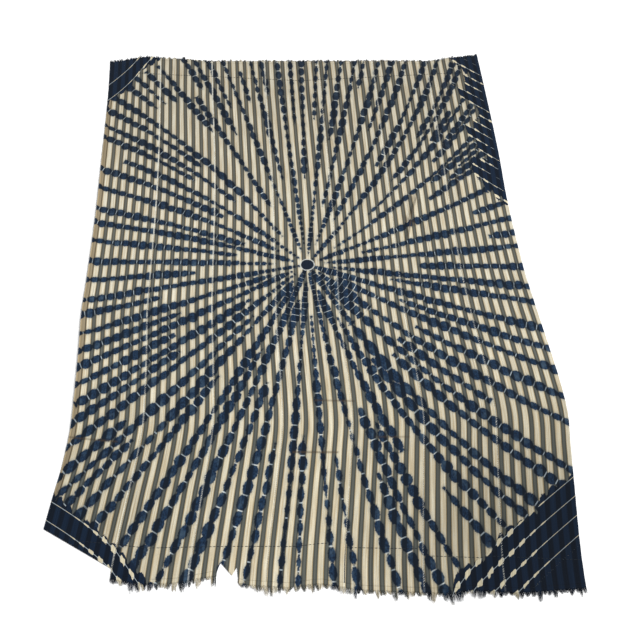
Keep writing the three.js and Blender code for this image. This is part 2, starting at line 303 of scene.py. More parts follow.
def pleat_count(pleat, number):
    """How many beads lie inside each place along a pleat: in rings by the hub, on the stripes farther out."""
    start, end, first, mid, last, _ = pleat
    r = np.linspace(start - 6, end + 6, 500)
    s = (r - start) / (end - start)
    bearing = np.radians(first + s * (4 * mid - 3 * first - last) + s * s * 2 * (first - 2 * mid + last))
    x, y = HUB[0] + r * np.sin(bearing), HUB[1] + r * np.cos(bearing)
    count = np.interp(r, ring_places, ring_counts) + scatter(number)
    stripes = share_at(x, y) * STRIPES + STRIPE_START - 0.5
    crossed = stripes[-1] - stripes[0]
    outer = r > WEB_MM
    sideways = abs(crossed) * STRIPE_MM / (r[-1] - r[0])
    longer = 1 + ALONG_WARP * float(smooth((0.7 - sideways) / 0.5))
    inner = np.interp(np.minimum(r, WEB_MM), r, count)
    count = inner + (count - inner) / longer
    if outer.any() and sideways > 0.6:
        stripes = stripes * np.sign(crossed)
        at = int(np.argmax(outer))
        count = np.where(outer, stripes + math.ceil(count[at] - stripes[at]), count)
    return r, count


def dye_fields(x, y):
    """For flat cloth: bead edges, corner depth, hub; thread lines; corner lines, creases and painted wrinkle
    shadow.
    """
    dx, dy = x - HUB[0], y - HUB[1]
    r = np.hypot(dx, dy)
    bearing = np.degrees(np.arctan2(dx, dy))
    bead = np.full(x.shape, 40.0)
    closest = np.full(x.shape, 9.0)
    cosine = np.full(x.shape, -1.0)
    sine = np.zeros(x.shape)
    reach = np.full(x.shape, 30.0)
    for number, pleat in enumerate(pleats):
        start, end, first, mid, last, wide = pleat
        s = np.clip((r - start) / (end - start), -0.1, 1.1)
        bend1 = 4 * mid - 3 * first - last
        bend2 = 2 * (first - 2 * mid + last)
        off = (bearing - (first + s * bend1 + s * s * bend2) + 180) % 360 - 180
        aside = r * np.radians(off)
        pick = np.nonzero((np.abs(aside) < 34) & (r > start - 25) & (r < end + 25))
        if not len(pick[0]):
            continue
        ps, pr = s[pick], r[pick]
        slant = pr * np.radians((bend1 + 2 * ps * bend2) / (end - start))
        across = aside[pick] / np.sqrt(1 + slant**2)
        foot = pr + aside[pick] * slant / (1 + slant**2)
        places, counts = pleat_count(pleat, number)
        count = np.interp(foot, places, counts)
        pitch = np.clip(1 / np.interp(foot, places, np.maximum(np.gradient(counts, places), 0.02)), 8, 40)
        whole = np.floor(count)
        # Beads are small where a pleat starts, grow outwards and are fuller in the web.
        grown = np.clip(0.66 + pr / 530, 0.5, 1.3) * (0.45 + 0.55 * smooth((foot - start + 8) / 35))
        clockwise = bearing[pick] % 360
        webbed = np.zeros(pr.shape)
        for low, high, fuller in WEB:
            webbed += fuller * smooth((clockwise - low) / 10) * smooth((high - clockwise) / 10)
        webbed = webbed * smooth((WEB_MM - pr) / 60)
        half = wide * grown * (0.82 + 0.32 * scatter(whole, number + 3)) * (1 + webbed)
        half = half * (1 + 0.24 * np.sin(whole * 0.5 + 2.4 * number))
        odd = scatter(whole, number + 17)
        # Each is a rounded block, squarer near the hub, joined to the next by a neck of dye.
        ahead = np.abs(count - whole - 0.5) * pitch
        longest = half * (1.15 + 0.65 * smooth((pr - 60) / 260) + 2 * webbed)
        round_half = np.minimum(0.5 * pitch * (0.98 + 0.16 * odd + 0.5 * webbed), longest)
        beside = np.abs(across - (odd - 0.5) * 0.3 * half)
        power = 2 + 1.4 * (1 - smooth((pr - 110) / 120))
        shape = ((ahead / round_half) ** power + (beside / half) ** power) ** (1 / power)
        gap = (shape - 1) * np.minimum(half, round_half)
        neck = np.where(odd > 0.25, 0.42, 0.14) * smooth((pr - 50) / 190)
        gap = np.minimum(gap, np.abs(across) - half * neck)
        past = np.maximum(start - 4 - foot, foot - end - 4)
        gap = np.maximum(gap, past)
        bead[pick] = np.minimum(bead[pick], gap)
        # The nearest pleat gives the thread lines; about half of them do not show.
        nearness = np.abs(across) / half + np.clip(past, 0, None)
        take = nearness < closest[pick]
        rows = tuple(p[take] for p in pick)
        closest[rows] = nearness[take]
        cosine[rows] = np.cos(2 * math.pi * count)[take]
        sine[rows] = np.sin(2 * math.pi * count)[take]
        bare = np.where(scatter(np.round(count), number + 29) > 0.5, 30, 0) * (1 - smooth(3 * webbed))
        reach[rows] = (np.abs(across) - half * (0.6 + webbed) + bare + np.clip(past, 0, None))[take]
    # The solid corners and the band reach out in lobes on the cream stripes.
    share = np.clip(share_at(x, y), 0, 1)
    width = curve(SELVEDGES, 2, y) - curve(SELVEDGES, 1, y)
    inset = {"left": share * width, "right": (1 - share) * width}
    ends = {"far": woven_end(FAR_END, share) - y, "near": y - woven_end(TURNED_END[:1] + NEAR_END, share)}
    depth = np.full(x.shape, -99.0)
    cross = np.full(x.shape, -9.0)
    opened = np.zeros(x.shape)
    lobe = np.sqrt(np.abs(np.cos(math.pi * (share * STRIPES + STRIPE_START))))
    scallop = 17 * lobe - 11 + 7 * np.sin(x / 37 + y / 23)
    for side, end, leg_x, leg_y, line, pitch, lines in CORNERS:
        inside = 1 - inset[side] / leg_x - ends[end] / leg_y
        inside = inside * leg_x * leg_y / math.hypot(leg_x, leg_y)
        bow = 10 * np.sin(math.pi * np.clip(inset[side] / leg_x, 0, 1))
        place = (inside + bow - line) / pitch
        cross = np.where(inside > depth, np.where(place < lines - 0.5, place, -9.5), cross)
        opened = np.where(inside > depth, smooth((inset[side] - 45) / 140), opened)
        depth = np.maximum(depth, inside)
    depth = depth + scallop
    turn = math.radians(BAND_BEARING)
    row = (dx * math.sin(turn) + dy * math.cos(turn)) / BAND_PITCH
    band = straight(sorted(BAND), y) - inset["right"] + BAND_RAGGED * (scatter(np.floor(row), 7) - 0.5)
    band = np.where(y > BAND_STOP, band + 1.4 * scallop, -99)
    cross = np.where(band > depth, row, cross)
    opened = np.where(band > depth, 0.65 - 1.15 * smooth((band - 28) / 26), opened)
    depth = np.maximum(depth, band)
    # Browned old creases, and painted shadow along the sharp wrinkles.
    crease_and_shadow = np.zeros(x.shape)
    for ax, ay, bx, by, strong in CREASES_AND_WRINKLE_SHADOWS:
        ex, ey = bx - ax, by - ay
        foot = np.clip(((x - ax) * ex + (y - ay) * ey) / (ex * ex + ey * ey), 0, 1)
        apart = np.hypot(x - ax - ex * foot, y - ay - ey * foot)
        crease_and_shadow = np.maximum(crease_and_shadow, strong * np.exp(-((apart / 2.1) ** 2)))
    hub = np.hypot(dx / 1.12, dy)
    return (
        np.stack([bead, depth, hub], -1),
        np.stack([cosine, sine, reach], -1),
        np.stack([cross, crease_and_shadow, opened], -1),
    )


def cloth_mesh(name, points, faces, flat_x, flat_y, across_mm):
    """A mesh in metres that carries the cloth's own flat sizes as UVs and its dye as attributes."""
    mesh = bpy.data.meshes.new(name)
    mesh.from_pydata(points.reshape(-1, 3).tolist(), [], faces)
    dye, wrap, mark = dye_fields(flat_x, flat_y)
    for label, values in (("dye", dye), ("wrap", wrap), ("mark", mark)):
        layer = mesh.attributes.new(label, "FLOAT_VECTOR", "POINT")
        layer.data.foreach_set("vector", values.astype(np.float32).ravel())
    corner = np.empty(len(mesh.loops), np.int32)
    mesh.loops.foreach_get("vertex_index", corner)
    flat = np.stack([across_mm, flat_y], -1)[corner]
    mesh.uv_layers.new(name="cloth").data.foreach_set("uv", flat.astype(np.float32).ravel())
    mesh.polygons.foreach_set("use_smooth", np.ones(len(mesh.polygons), bool))
    mesh.update()
    piece = bpy.data.objects.new(name, mesh)
    bpy.context.scene.collection.objects.link(piece)
    return piece


def sheet_faces(rows, columns, step):
    """Faces of a sheet: a fine upper face, a coarse lower face that keeps the rim, and the rim itself."""
    top = np.arange(rows * columns).reshape(rows, columns)
    low = top + rows * columns
    quads = np.stack([top[:-1, :-1], top[:-1, 1:], top[1:, 1:], top[1:, :-1]], -1).reshape(-1, 4)
    faces = quads.tolist()
    row_stops = sorted(set(range(0, rows - 1, step)) | {rows - 1})
    column_stops = sorted(set(range(0, columns - 1, step)) | {columns - 1})
    for r0, r1 in zip(row_stops, row_stops[1:]):
        for c0, c1 in zip(column_stops, column_stops[1:]):
            first = low[r0, c0:c1] if r0 == 0 else low[r0, c0 : c0 + 1]
            right = low[r0:r1, c1] if c1 == columns - 1 else low[r0 : r0 + 1, c1]
            last = low[r1, c1:c0:-1] if r1 == rows - 1 else low[r1, c1 : c1 + 1]
            left = low[r1:r0:-1, c0] if c0 == 0 else low[r1 : r1 + 1, c0]
            faces.append(np.concatenate([first, right, last, left])[::-1].tolist())
    rim = np.concatenate([top[0, :-1], top[:-1, -1], top[-1, :0:-1], top[:0:-1, 0]])
    after = np.roll(rim, -1)
    below = rows * columns
    faces += np.stack([rim, rim + below, after + below, after], -1).tolist()
    return faces


def hexed(text):
    """An sRGB hex colour as linear red, green, blue and alpha."""
    parts = [int(text[i : i + 2], 16) / 255 for i in (1, 3, 5)]
    return tuple(p / 12.92 if p <= 0.04045 else ((p + 0.055) / 1.055) ** 2.4 for p in parts) + (1.0,)


def knot(tree, kind, inputs=None, settings=None, out=0):
    """Adds one node with its settings, its values and its links, and gives back one of its outputs."""
    made = tree.nodes.new(kind)
    for key, value in (settings or {}).items():
        setattr(made, key, value)
    for key, value in (inputs or {}).items():
        if isinstance(value, bpy.types.NodeSocket):
            tree.links.new(value, made.inputs[key])
        else:
            made.inputs[key].default_value = value
    return made.outputs[out] if len(made.outputs) else made


# Handwoven indigo-dyed cotton, matte and a little uneven: cream and grey warp stripes with streaky threads,
# fine weft ribs, dye that bleeds a little along the threads, and pale lines where the binding kept it out.
cotton = bpy.data.materials.new("handwoven_indigo_cotton")
cotton.use_nodes = True
tree = cotton.node_tree
tree.nodes.clear()
M, R = "ShaderNodeMath", "ShaderNodeMapRange"
COLOUR = {"data_type": "RGBA"}

flat = knot(tree, "ShaderNodeUVMap", settings={"uv_map": "cloth"})
u, v = [knot(tree, "ShaderNodeSeparateXYZ", {0: flat}, out=i) for i in (0, 1)]
labels = [{"attribute_name": label} for label in ("dye", "wrap", "mark")]
dye, wrap, mark = [knot(tree, "ShaderNodeAttribute", settings=label, out=1) for label in labels]
bead, depth, hub = [knot(tree, "ShaderNodeSeparateXYZ", {0: dye}, out=i) for i in range(3)]
wrap_cos, wrap_sin, reach = [knot(tree, "ShaderNodeSeparateXYZ", {0: wrap}, out=i) for i in range(3)]
cross, crease_and_shadow, opened = [knot(tree, "ShaderNodeSeparateXYZ", {0: mark}, out=i) for i in range(3)]

# Unevenness in the cloth's own millimetres: streaks along the warp, batches of yarn a few threads wide,
# flecks, dye bleed, slow changes and patches. Repeats in a millimetre across and along, finer detail.
UNEVEN = [
    (1.6, 0.006, 2), (0.36, 0.011, 2), (1.1, 0.45, 3), (0.3, 0.2, 3), (0.03, 0.012, 2), (0.045, 0.045, 2),
]
noises = []
for per_mm_across, per_mm_along, detail in UNEVEN:
    scale = (per_mm_across, per_mm_along, 1)
    at = knot(tree, "ShaderNodeVectorMath", {0: flat, 1: scale}, {"operation": "MULTIPLY"})
    noises.append(knot(tree, "ShaderNodeTexNoise", {"Vector": at, "Scale": 1.0, "Detail": detail}))
streak, batch, fleck, bleed, slow, patch = noises

# Stripes: distance from the middle of a cream stripe, with a browned edge that wanders by about a millimetre.
wander = knot(tree, M, {0: slow, 1: 2.2, 2: -1.1}, {"operation": "MULTIPLY_ADD"})
wandered = knot(tree, M, {0: u, 1: wander}, {"operation": "ADD"})
from_cream = knot(tree, M, {0: wandered, 1: STRIPE_MM / 2}, {"operation": "PINGPONG"})
edge = knot(tree, M, {0: fleck, 1: 1.2, 2: from_cream}, {"operation": "MULTIPLY_ADD"})
cream_share = knot(tree, R, {0: edge, 1: 7.8, 2: 5.4, 3: 0.0, 4: 1.0})
cream_tone = knot(tree, "ShaderNodeMix", {0: slow, 6: hexed("#aca38b"), 7: hexed("#d8d0b8")}, COLOUR, 2)
thread_line = knot(tree, M, {0: from_cream, 1: 0.9}, {"operation": "PINGPONG"})
thread_line = knot(tree, R, {0: thread_line, 1: 0.32, 2: 0.05, 3: 0.0, 4: 0.3})
thread_mid = knot(tree, R, {0: from_cream, 1: 3.4, 2: 2.2, 3: 0.0, 4: 1.0})
thread_line = knot(tree, M, {0: thread_line, 1: thread_mid}, {"operation": "MULTIPLY"})
cream_tone = knot(tree, "ShaderNodeMix", {0: thread_line, 6: cream_tone, 7: hexed("#8b7850")}, COLOUR, 2)
far_share = knot(tree, R, {0: v, 1: -500.0, 2: 500.0, 3: 0.0, 4: 1.0})
pale_share = knot(tree, R, {0: v, 1: -450.0, 2: 0.0, 3: 0.06, 4: 0.3})
cream_tone = knot(tree, "ShaderNodeMix", {0: pale_share, 6: cream_tone, 7: hexed("#c5c5be")}, COLOUR, 2)
haze = knot(tree, R, {0: bleed, 1: 0.5, 2: 0.7, 3: 0.0, 4: 0.4})
cream_tone = knot(tree, "ShaderNodeMix", {0: haze, 6: cream_tone, 7: hexed("#a8adaa")}, COLOUR, 2)
tan_share = knot(tree, R, {0: batch, 1: 0.44, 2: 0.66, 3: 0.0, 4: 0.5})
cream_tone = knot(tree, "ShaderNodeMix", {0: tan_share, 6: cream_tone, 7: hexed("#b79f74")}, COLOUR, 2)
grey_mid = knot(tree, "ShaderNodeMix", {0: far_share, 6: hexed("#5a5c56"), 7: hexed("#636259")}, COLOUR, 2)
grey_edge = knot(tree, "ShaderNodeMix", {0: far_share, 6: hexed("#40433f"), 7: hexed("#45453f")}, COLOUR, 2)
mid_share = knot(tree, R, {0: from_cream, 1: 8.2, 2: 10.6, 3: 0.0, 4: 0.8})
grey_tone = knot(tree, "ShaderNodeMix", {0: mid_share, 6: grey_edge, 7: grey_mid}, COLOUR, 2)
cloth_tone = knot(tree, "ShaderNodeMix", {0: cream_share, 6: grey_tone, 7: cream_tone}, COLOUR, 2)
edge_tan = knot(tree, M, {0: 1.0, 1: cream_share}, {"operation": "SUBTRACT"})
edge_tan = knot(tree, M, {0: edge_tan, 1: cream_share}, {"operation": "MULTIPLY"})
edge_tan = knot(tree, M, {0: edge_tan, 1: 2.4}, {"operation": "MULTIPLY"})
cloth_tone = knot(tree, "ShaderNodeMix", {0: edge_tan, 6: cloth_tone, 7: hexed("#8d774c")}, COLOUR, 2)

# Dye: beads and solid corners, with edges that creep along the threads and a thin blue-green bleed.
creep = knot(tree, M, {0: bleed, 1: 5.6, 2: -2.8}, {"operation": "MULTIPLY_ADD"})
creep = knot(tree, M, {0: fleck, 1: 1.6, 2: creep}, {"operation": "MULTIPLY_ADD"})
bead_edge = knot(tree, M, {0: bead, 1: creep}, {"operation": "ADD"})
bead_share = knot(tree, R, {0: bead_edge, 1: 2.2, 2: 0.2, 3: 0.0, 4: 1.0})
halo_share = knot(tree, R, {0: bead_edge, 1: 7.0, 2: 1.0, 3: 0.0, 4: 0.42})
corner_edge = knot(tree, M, {0: bleed, 1: 9.0, 2: depth}, {"operation": "MULTIPLY_ADD"})
corner_share = knot(tree, R, {0: corner_edge, 1: 3.6, 2: 5.4, 3: 0.0, 4: 1.0})
dot_share = knot(tree, R, {0: hub, 1: 15.0, 2: 14.0, 3: 0.0, 4: 1.0})
dyed = knot(tree, M, {0: bead_share, 1: corner_share}, {"operation": "MAXIMUM"})
dyed = knot(tree, M, {0: dyed, 1: dot_share}, {"operation": "MAXIMUM"})
depth_share = knot(tree, R, {0: bleed, 1: 0.3, 2: 0.7, 3: 0.0, 4: 1.0})
indigo = knot(tree, "ShaderNodeMix", {0: depth_share, 6: hexed("#0d1828"), 7: hexed("#213750")}, COLOUR, 2)
faded = knot(tree, R, {0: patch, 1: 0.5, 2: 0.7, 3: 0.0, 4: 0.42})
indigo = knot(tree, "ShaderNodeMix", {0: faded, 6: indigo, 7: hexed("#4a5f70")}, COLOUR, 2)
greyed = knot(tree, R, {0: v, 1: 100.0, 2: 450.0, 3: 0.0, 4: 0.5})
indigo = knot(tree, "ShaderNodeMix", {0: greyed, 6: indigo, 7: hexed("#20272e")}, COLOUR, 2)
indigo = knot(tree, "ShaderNodeMix", {0: cream_share, 6: hexed("#111a25"), 7: indigo}, COLOUR, 2)
halo_tone = knot(tree, "ShaderNodeMix", {0: cream_share, 6: hexed("#2b353b"), 7: hexed("#78807c")}, COLOUR, 2)
tone = knot(tree, "ShaderNodeMix", {0: halo_share, 6: cloth_tone, 7: halo_tone}, COLOUR, 2)
solid = knot(tree, "ShaderNodeMix", {0: cream_share, 6: hexed("#0b1420"), 7: hexed("#112033")}, COLOUR, 2)
indigo = knot(tree, "ShaderNodeMix", {0: corner_share, 6: indigo, 7: solid}, COLOUR, 2)
tone = knot(tree, "ShaderNodeMix", {0: dyed, 6: tone, 7: indigo}, COLOUR, 2)

# Thread lines: pale where the binding crossed a pleat, fading past the bead's sides, some stronger.
turn = knot(tree, M, {0: wrap_sin, 1: wrap_cos}, {"operation": "ARCTAN2"})
apart = knot(tree, M, {0: turn, 1: 3.4}, {"operation": "MULTIPLY"})
apart = knot(tree, M, {0: apart}, {"operation": "ABSOLUTE"})
line_share = knot(tree, R, {0: apart, 1: 1.15, 2: 0.45, 3: 0.0, 4: 1.0})
reach_share = knot(tree, R, {0: reach, 1: 1.0, 2: -2.5, 3: 0.0, 4: 1.0})
line_share = knot(tree, M, {0: line_share, 1: reach_share}, {"operation": "MULTIPLY"})
strong = knot(tree, R, {0: patch, 1: 0.34, 2: 0.62, 3: 0.25, 4: 0.95})
line_share = knot(tree, M, {0: line_share, 1: strong}, {"operation": "MULTIPLY"})
open_cloth = knot(tree, M, {0: 1.0, 1: corner_share}, {"operation": "SUBTRACT"})
line_share = knot(tree, M, {0: line_share, 1: open_cloth}, {"operation": "MULTIPLY"})
line_tone = knot(tree, "ShaderNodeMix", {0: cream_share, 6: hexed("#98a3a8"), 7: hexed("#ccd2cf")}, COLOUR, 2)
tone = knot(tree, "ShaderNodeMix", {0: line_share, 6: tone, 7: line_tone}, COLOUR, 2)

# Corner lines: thin and pale on the grey stripes, opening to cream lozenges on the cream ones.
cross_apart = knot(tree, M, {0: cross, 1: 0.5}, {"operation": "PINGPONG"})
cross_apart = knot(tree, M, {0: cross_apart, 1: 33.0}, {"operation": "MULTIPLY"})
open_mm = knot(tree, R, {0: patch, 1: 0.35, 2: 0.65, 3: 1.5, 4: 6.5})
open_mm = knot(tree, M, {0: open_mm, 1: opened}, {"operation": "MULTIPLY"})
open_mm = knot(tree, M, {0: open_mm, 1: cream_share, 2: 0.45}, {"operation": "MULTIPLY_ADD"})
cross_gap = knot(tree, M, {0: cross_apart, 1: open_mm}, {"operation": "SUBTRACT"})
cross_share = knot(tree, R, {0: cross_gap, 1: 0.4, 2: -0.3, 3: 0.0, 4: 1.0})
cross_in = knot(tree, R, {0: depth, 1: -4.0, 2: 2.0, 3: 0.0, 4: 1.0})
cross_share = knot(tree, M, {0: cross_share, 1: cross_in}, {"operation": "MULTIPLY"})
cross_first = knot(tree, M, {0: cross, 1: -0.5}, {"operation": "GREATER_THAN"})
cross_share = knot(tree, M, {0: cross_share, 1: cross_first}, {"operation": "MULTIPLY"})
faint = knot(tree, R, {0: opened, 1: -0.5, 2: 0.1, 3: 0.3, 4: 1.0})
cross_share = knot(tree, M, {0: cross_share, 1: faint}, {"operation": "MULTIPLY"})
cross_inputs = {0: cream_share, 6: hexed("#aab5bb"), 7: hexed("#cfc5a8")}
cross_tone = knot(tree, "ShaderNodeMix", cross_inputs, COLOUR, 2)
tone = knot(tree, "ShaderNodeMix", {0: cross_share, 6: tone, 7: cross_tone}, COLOUR, 2)

# Seams: the whipped edges took little dye and show as a pale, patchy line, clearest towards the far end.
seam_mm = knot(tree, M, {0: u, 1: STRIPE_START * STRIPE_MM}, {"operation": "SUBTRACT"})
seam_mm = knot(tree, M, {0: seam_mm, 1: STRIPE_MM * STRIPES / STRIPS / 2}, {"operation": "PINGPONG"})
seam_share = knot(tree, R, {0: seam_mm, 1: 2.3, 2: 1.2, 3: 0.0, 4: 1.0})
inside = knot(tree, M, {0: u, 1: STRIPE_MM * STRIPES / 2, 2: 500.0}, {"operation": "COMPARE"})
seam_share = knot(tree, M, {0: seam_share, 1: inside}, {"operation": "MULTIPLY"})
kept = knot(tree, R, {0: patch, 1: 0.36, 2: 0.56, 3: 0.15, 4: 0.95})
seam_share = knot(tree, M, {0: seam_share, 1: kept}, {"operation": "MULTIPLY"})
clear = knot(tree, R, {0: v, 1: -300.0, 2: 450.0, 3: 0.35, 4: 1.0})
seam_share = knot(tree, M, {0: seam_share, 1: clear}, {"operation": "MULTIPLY"})
clear = knot(tree, R, {0: u, 1: 300.0, 2: 650.0, 3: 1.0, 4: 0.4})
seam_share = knot(tree, M, {0: seam_share, 1: clear}, {"operation": "MULTIPLY"})
tone = knot(tree, "ShaderNodeMix", {0: seam_share, 6: tone, 7: hexed("#d2d2c8")}, COLOUR, 2)

# The left selvedge is worn tan, with a thin brown line of painted shade along the inside of the wear, where
# the edge curls up.
SELVEDGE_MM = 12
worn_at = SELVEDGE_MM + STRIPE_START * STRIPE_MM
undyed = knot(tree, M, {0: 1.0, 1: dyed}, {"operation": "SUBTRACT"})
worn = knot(tree, R, {0: wandered, 1: worn_at, 2: worn_at - 2.0, 3: 0.0, 4: 0.5})
worn = knot(tree, M, {0: worn, 1: undyed}, {"operation": "MULTIPLY"})
tone = knot(tree, "ShaderNodeMix", {0: worn, 6: tone, 7: hexed("#a39070")}, COLOUR, 2)
# Painted shade: a thin dark line where the curled left edge rises.
curl_shade_line = knot(tree, M, {0: wandered, 1: worn_at, 2: 0.8}, {"operation": "COMPARE"})
curl_shade_line = knot(tree, M, {0: curl_shade_line, 1: undyed}, {"operation": "MULTIPLY"})
curl_shade_line = knot(tree, M, {0: curl_shade_line, 1: 0.6}, {"operation": "MULTIPLY"})
tone = knot(tree, "ShaderNodeMix", {0: curl_shade_line, 6: tone, 7: hexed("#4c3b25")}, COLOUR, 2)

# The pale ring round the middle dot, the browned creases with painted shadow along the sharp wrinkles, the
# streaky warp and the weft ribs with their light and shade painted in, which are drawn coarse enough to show.
WEFT_MM = 1.496
tone = knot(tree, "ShaderNodeMix", {0: dot_share, 6: tone, 7: hexed("#141d2a")}, COLOUR, 2)
ring_out = knot(tree, R, {0: hub, 1: 18.0, 2: 16.8, 3: 0.0, 4: 1.0})
ring_in = knot(tree, R, {0: hub, 1: 14.4, 2: 15.4, 3: 0.0, 4: 1.0})
ring = knot(tree, M, {0: ring_out, 1: ring_in}, {"operation": "MULTIPLY"})
ring_kept = knot(tree, R, {0: bleed, 1: 0.35, 2: 0.55, 3: 0.3, 4: 0.95})
ring = knot(tree, M, {0: ring, 1: ring_kept}, {"operation": "MULTIPLY"})
tone = knot(tree, "ShaderNodeMix", {0: ring, 6: tone, 7: hexed("#b4b8b6")}, COLOUR, 2)
# Painted shadow along the sharp wrinkles, with the browned old creases, darkens the colour here.
brown_and_shadow = knot(tree, M, {0: crease_and_shadow, 1: 0.75}, {"operation": "MULTIPLY"})
tone = knot(tree, "ShaderNodeMix", {0: brown_and_shadow, 6: tone, 7: hexed("#43372a")}, COLOUR, 2)
rib = knot(tree, M, {0: v, 1: 2 * math.pi / WEFT_MM}, {"operation": "MULTIPLY"})
rib = knot(tree, M, {0: rib}, {"operation": "SINE"})
shade = knot(tree, R, {0: streak, 1: 0.3, 2: 0.7, 3: 0.73, 4: 1.24})
# Painted shade: the weft ribs lighten and darken the colour a little, as light and shade across the ribs.
shade = knot(tree, M, {0: rib, 1: 0.025, 2: shade}, {"operation": "MULTIPLY_ADD"})
batch_shade = knot(tree, R, {0: batch, 1: 0.3, 2: 0.7, 3: 1.1, 4: 0.9})
shade = knot(tree, M, {0: shade, 1: batch_shade}, {"operation": "MULTIPLY"})
grain = knot(tree, R, {0: fleck, 1: 0.3, 2: 0.7, 3: 0.93, 4: 1.06})
shade = knot(tree, M, {0: shade, 1: grain}, {"operation": "MULTIPLY"})

# Painted shade: the colour is darkened towards the far end and at both near corners, the right one most,
# where less light falls.
far_painted_shade = knot(tree, R, {0: v, 1: 150.0, 2: 600.0, 3: 1.0, 4: 0.83})
shade = knot(tree, M, {0: shade, 1: far_painted_shade}, {"operation": "MULTIPLY"})
# Painted shade at the near corners, the right one darkest.
near_painted_shade = knot(tree, R, {0: v, 1: -250.0, 2: -600.0, 3: 0.0, 4: 1.0})
right_painted_shade = knot(tree, R, {0: u, 1: 600.0, 2: 940.0, 3: 0.0, 4: 0.38})
left_painted_shade = knot(tree, R, {0: u, 1: 420.0, 2: 120.0, 3: 0.0, 4: 0.22})
side_painted_shade = knot(tree, M, {0: right_painted_shade, 1: left_painted_shade}, {"operation": "ADD"})
near_painted_shade = knot(tree, M, {0: near_painted_shade, 1: side_painted_shade}, {"operation": "MULTIPLY"})
kept = knot(tree, M, {0: 1.0, 1: near_painted_shade}, {"operation": "SUBTRACT"})
shade = knot(tree, M, {0: shade, 1: kept}, {"operation": "MULTIPLY"})
tone = knot(tree, "ShaderNodeVectorMath", {0: tone, "Scale": shade}, {"operation": "SCALE"})

# Warp-faced plain weave: the weft ribs with the warp threads' streaks over them.
height = knot(tree, M, {0: rib, 1: 0.35, 2: streak}, {"operation": "MULTIPLY_ADD"})
height = knot(tree, M, {0: fleck, 1: 0.5, 2: height}, {"operation": "MULTIPLY_ADD"})
bump = knot(tree, "ShaderNodeBump", {"Strength": 0.35, "Distance": 0.0006, "Height": height})
rough = knot(tree, R, {0: fleck, 1: 0.2, 2: 0.8, 3: 0.86, 4: 0.98})
surface = {"Base Color": tone, "Roughness": rough, "Normal": bump}
surface |= {"Sheen Weight": 0.03, "Specular IOR Level": 0.12}
cloth_shader = knot(tree, "ShaderNodeBsdfPrincipled", surface)
knot(tree, "ShaderNodeOutputMaterial", {"Surface": cloth_shader})


def strip_near(strip, across):
    """Where one strip's weave stops at its near end, clear of the frayed backing."""
    if strip == 0:
        return straight(TURNED_END, across)
    end = woven_end(NEAR_END, across) + BACKING_MM
    torn = (across > NOTCH[0][0]) & (across < NOTCH[-1][0])
    return np.where(torn, straight(NOTCH, across), end)


def row_at_fold(across, beyond):
    """The place along the warp that lies a given distance beyond the fold."""
    y = np.full(across.shape, -650.0)
    for _ in range(12):
        y = y + (beyond_fold(lie(across, y), y) - beyond) / -fold_out[1] * 0.95
    return y


OPEN_SEAM = 4
OPEN_FROM = -650
OPEN_MM = 1.1
strips = []
for strip in range(STRIPS):
    columns = CELLS_PER_STRIPE * STRIPES // STRIPS + 1
    across = np.linspace(strip / STRIPS, (strip + 1) / STRIPS, columns)
    far = woven_end(FAR_END, across) - BACKING_MM
    t = np.linspace(0, 1, CELL_ROWS + 1)[:, None]
    if strip == 0:
        fold = row_at_fold(across, 0.0)
        rows = [row_at_fold(across, fold_arc * i / 8) for i in range(8, 0, -1)]
        end = strip_near(strip, across)
        start = rows[0]
        flap_rows = end + (start - end) * np.linspace(0, 1, 30)[:, None]
        along = np.concatenate([flap_rows[:-1], np.array(rows), fold + (far - fold) * t])
    else:
        near = strip_near(strip, across)
        along = near + (far - near) * t
    flat_y = along.ravel()
    flat_x = lie(np.broadcast_to(across, along.shape).ravel(), flat_y)
    parted = OPEN_MM * smooth((OPEN_FROM - along) / 40)
    aside = np.zeros(along.shape)
    if strip == OPEN_SEAM - 1:
        aside[:, -1] = -parted[:, -1]
    if strip == OPEN_SEAM:
        aside[:, 0] = parted[:, 0]
    flat_x = flat_x + aside.ravel()
    points = np.concatenate([laid(flat_x, flat_y, face, strip == 0) for face in (1, 0)])
    faces = sheet_faces(*along.shape, 10)
    mm = np.tile(np.broadcast_to((across * STRIPES + STRIPE_START) * STRIPE_MM, along.shape).ravel(), 2)
    piece = cloth_mesh(f"woven_strip_{strip + 1}", points, faces, np.tile(flat_x, 2), np.tile(flat_y, 2), mm)
    piece.data.materials.append(cotton)
    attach(piece, "root")
    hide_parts(f"strip_{strip + 1}")
    strips.append(piece)

# The frayed ends. Past the last weft the warp is loose: a narrow band of cloth and then tufts of single
# threads, two tufts to a stripe, short at the far end and longer and more uneven at the near end.
# Name, solid, end of the weave, shares of the width from and to, way out, shortest and longest threads.
FRAY = [
    ("far_frayed_ends", "far_fringe", FAR_END, 0, 1, 1, 3, 10),
    ("near_frayed_ends_left", "near_fringe_left", NEAR_END, 1 / 7 + 0.0005, 16.5 / 49, -1, 6, 21),
    ("near_frayed_ends_right", "near_fringe_right", NEAR_END, 18.5 / 49, 1, -1, 6, 21),
]
worked_on = [[] for _ in range(STRIPS)]
THREADS_PER_TUFT = 20
THREAD_MM = 0.55
CLUMP_MM = (4, 15)
# A thread is a three-sided tube of five rings.
THREAD_SIDES = 3
THREAD_RINGS = 5
THREAD_POINTS = THREAD_SIDES * THREAD_RINGS


def tube_faces(start):
    """The sides, the far caps and the near caps of tubes whose points start at these numbers."""
    sides = []
    for ring in range(THREAD_RINGS - 1):
        for side in range(THREAD_SIDES):
            a, b = ring * THREAD_SIDES + side, ring * THREAD_SIDES + (side + 1) % THREAD_SIDES
            sides.append(start + np.array([a, b, b + THREAD_SIDES, a + THREAD_SIDES]))
    caps = start + np.arange(THREAD_POINTS - THREAD_SIDES, THREAD_POINTS)
    heels = start + np.arange(THREAD_SIDES)[::-1]
    return np.concatenate(sides), caps, heels


